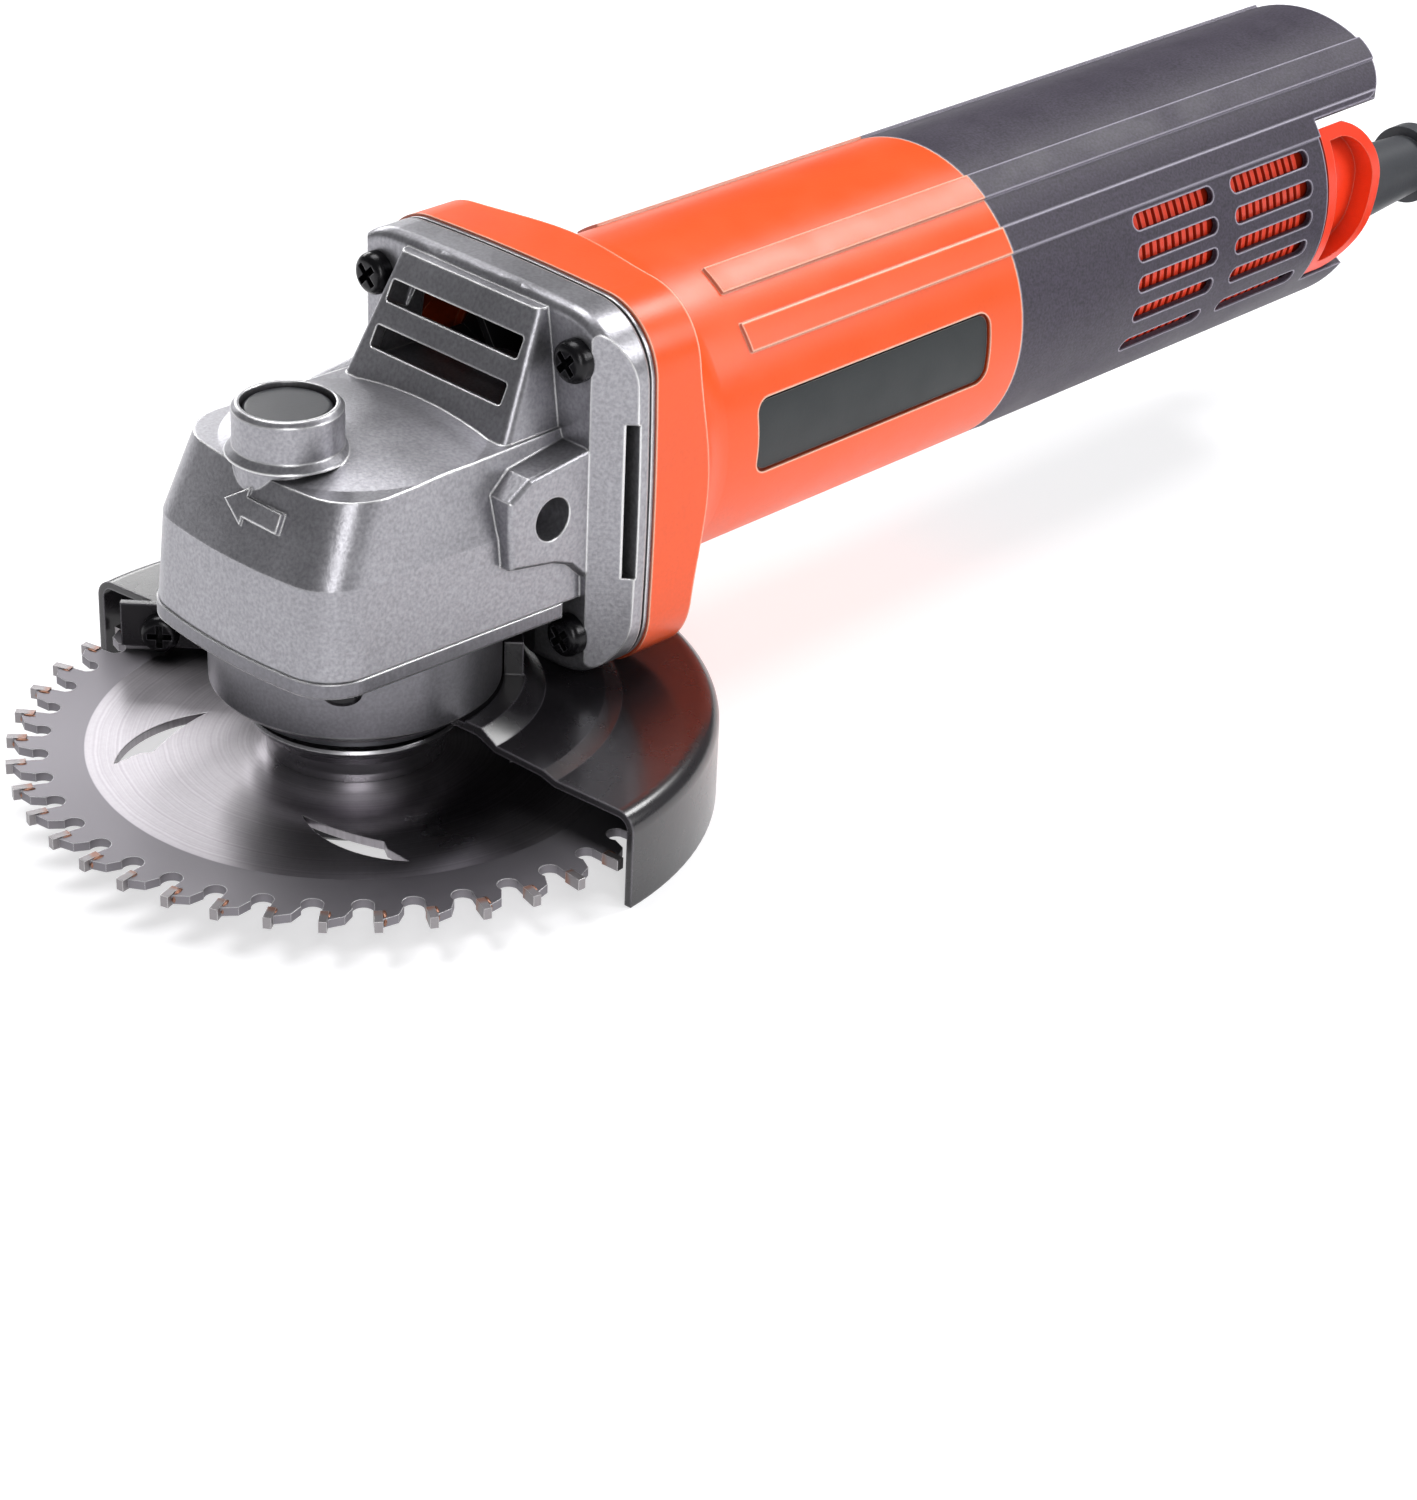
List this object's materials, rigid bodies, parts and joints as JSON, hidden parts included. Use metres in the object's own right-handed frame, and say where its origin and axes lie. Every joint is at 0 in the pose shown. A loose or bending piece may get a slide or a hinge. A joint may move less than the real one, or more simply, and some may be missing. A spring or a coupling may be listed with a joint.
{
  "type": "angle grinder",
  "caption": "Corded angle grinder with a toothed saw blade on its flange, cast gear head, open wheel guard, orange motor housing, slotted dark rear cover and cord.",
  "frame": {"origin": "on the spindle axis at the outer (lower) face of the lock nut", "axes": "+Z along the spindle up towards the gear head's roof, +X from the spindle to the tail of the motor barrel, +Y to the slide-switch side"},
  "size_m": [0.4245, 0.1866, 0.0777],
  "materials": {
    "cast_aluminium": "fine-blasted die casting",
    "black_screws": "black oxide",
    "plain_steel": "ground",
    "button_plastic": "fine-textured",
    "spring_steel": "oiled",
    "zinc_screws": "zinc plated",
    "bearing_steel": "polished",
    "gear_steel": "machined",
    "bright_flange": "turned",
    "blade_steel": "ground",
    "carbide": "ground tips with copper braze",
    "black_oxide": "black oxide",
    "guard_paint": "satin black enamel",
    "orange_plastic": "fine-textured",
    "label_film": "satin film",
    "fan_plastic": "plain moulded",
    "core_steel": "stacked laminations",
    "copper": "enamelled copper",
    "brass": "plain",
    "carbon": "carbon",
    "cover_plastic": "spark-textured, dark violet grey",
    "insert_plastic": "smooth red-orange",
    "capacitor_film": "dipped",
    "cord_rubber": "matt",
    "tie_strap": "woven strap",
    "plug_rubber": "moulded",
    "brass_plated": "nickel plated"
  },
  "bodies": {
    "housing": {"gear_case": "cast_aluminium", "gear_case_screws": "black_screws", "lock_spring": "spring_steel", "bearing_box": "cast_aluminium", "bearing_box_screws": "zinc_screws", "spindle_bearing": "bearing_steel", "needle_bearing": "bearing_steel", "guard_retaining_ring": "spring_steel", "motor_housing": "orange_plastic", "label_plate": "label_film", "front_bearing": "bearing_steel", "rear_bearing": "bearing_steel", "stator_core": "core_steel", "field_coils": "copper", "baffle_plate": "fan_plastic", "brush_holders": "brass", "carbon_brushes": "carbon", "brush_springs": "spring_steel", "rear_cover": "cover_plastic", "rear_cover_screws": "black_screws", "vent_insert_near": "insert_plastic", "vent_insert_far": "insert_plastic", "switch_body": "fan_plastic", "capacitor": "capacitor_film", "strain_relief": "cord_rubber", "cord_clamp": "fan_plastic", "cord_clamp_screws": "zinc_screws", "cord_inside": "cord_rubber", "power_cord": "cord_rubber", "plug_lead": "cord_rubber", "cord_coil": "cord_rubber", "cord_tie": "tie_strap", "plug_body": "plug_rubber", "plug_pins": "brass_plated"},
    "spindle": {"spindle": "plain_steel", "bevel_gear": "gear_steel", "gear_retaining_ring": "spring_steel", "inner_flange": "bright_flange", "saw_blade": "blade_steel", "carbide_tips": "carbide", "lock_nut": "black_oxide"},
    "armature": {"armature_shaft": "plain_steel", "armature_core": "core_steel", "armature_windings": "copper", "commutator": "copper", "cooling_fan": "fan_plastic", "bevel_pinion": "gear_steel"},
    "lock_button": {"lock_pin": "plain_steel", "lock_button": "button_plastic"},
    "guard": {"guard": "guard_paint", "guard_clamp_screw": "black_screws", "guard_clamp_nut": "zinc_screws"},
    "switch": {"switch_knob": "button_plastic", "switch_rod": "fan_plastic"}
  },
  "joints": [
    {"name": "spindle_spin", "type": "hinge", "parent": "housing", "child": "spindle", "pos_m": [0, 0, 0], "axis": [0, 0, 1], "continuous": true},
    {"name": "armature_spin", "type": "hinge", "parent": "housing", "child": "armature", "pos_m": [0, 0, 0.0469], "axis": [1, 0, 0], "continuous": true},
    {"name": "spindle_lock_press", "type": "slide", "parent": "housing", "child": "lock_button", "axis": [0, 0, -1], "range_m": [0, 0.0032], "stiffness_N_per_m": 900, "deforming": ["lock_spring"]},
    {"name": "guard_turn", "type": "hinge", "parent": "housing", "child": "guard", "pos_m": [0, 0, 0], "axis": [0, 0, 1], "range_deg": [-90, 90]},
    {"name": "switch_slide", "type": "slide", "parent": "housing", "child": "switch", "axis": [-1, 0, 0], "range_m": [0, 0.008]}
  ],
  "couplings": [
    {"joint": "armature_spin", "follows": "spindle_spin", "ratio": 3.7}
  ]
}
